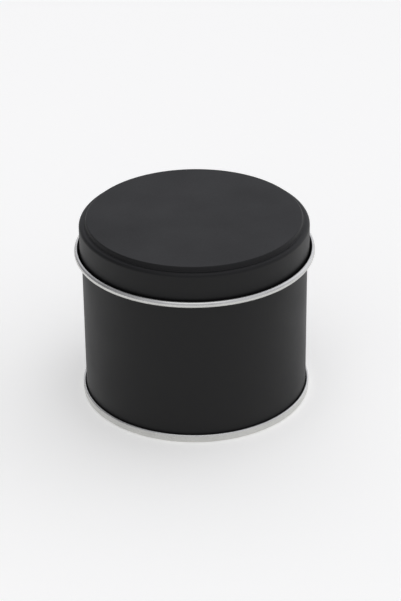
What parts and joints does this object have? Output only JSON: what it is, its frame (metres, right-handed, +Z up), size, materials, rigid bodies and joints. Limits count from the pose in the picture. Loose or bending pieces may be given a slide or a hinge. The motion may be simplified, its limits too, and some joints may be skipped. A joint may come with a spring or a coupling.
{
  "type": "candle tin",
  "caption": "Round slip-lid candle tin with a welded straight body, a double-seamed bottom and a stepped lid with an outward-curled edge.",
  "frame": {"origin": "middle of the base, on the surface the tin stands on", "axes": "+Z up along the tin's axis, from the base to the lid; the body's side seam is at +Y"},
  "size_m": [0.0812, 0.0812, 0.0648],
  "materials": {
    "black_lacquer": "satin black lacquer on the outside, bare bright tinplate on the inside",
    "tinplate": "bare bright tinplate with fine rolling lines",
    "sealing_compound": "matt, dried"
  },
  "bodies": {
    "tin": {"tin_body": "black_lacquer", "bottom_end": "tinplate", "seam_compound": "sealing_compound"},
    "lid": {"lid": "black_lacquer"}
  },
  "joints": [
    {"name": "lid_lift", "type": "slide", "parent": "tin", "child": "lid", "axis": [0, 0, 1], "range_m": [0, 0.08]}
  ]
}
